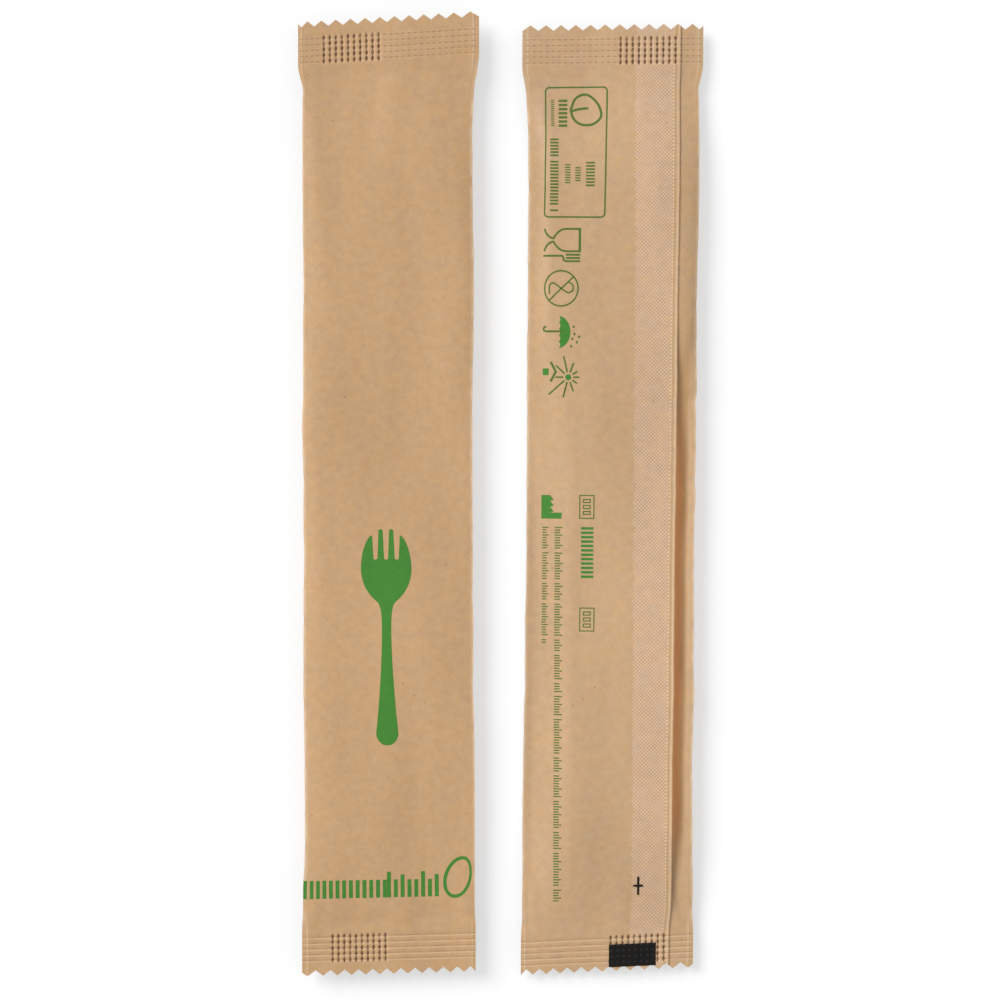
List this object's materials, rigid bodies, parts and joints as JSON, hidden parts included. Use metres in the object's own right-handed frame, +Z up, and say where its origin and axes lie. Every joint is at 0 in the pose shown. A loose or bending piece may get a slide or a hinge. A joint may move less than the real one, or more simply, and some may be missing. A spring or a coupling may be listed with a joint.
{
  "type": "pack of wrapped wooden sporks",
  "caption": "Long kraft paper sachets side by side, face up and back up, each sealed round a wooden spork by serrated crimped ends and a folded fin seal.",
  "frame": {"origin": "centre of the pack's underside, on the surface that the sachets lie on", "axes": "+Y along the sachets towards the end that holds the bowls of the sporks, +Z up, +X to the right, towards the back-up sachet"},
  "size_m": [0.0822, 0.1956, 0.0053],
  "materials": {
    "kraft_paper": "matte"
  },
  "bodies": {
    "root": {"sachet_face_up": "kraft_paper", "sachet_back_up": "kraft_paper"}
  },
  "joints": []
}
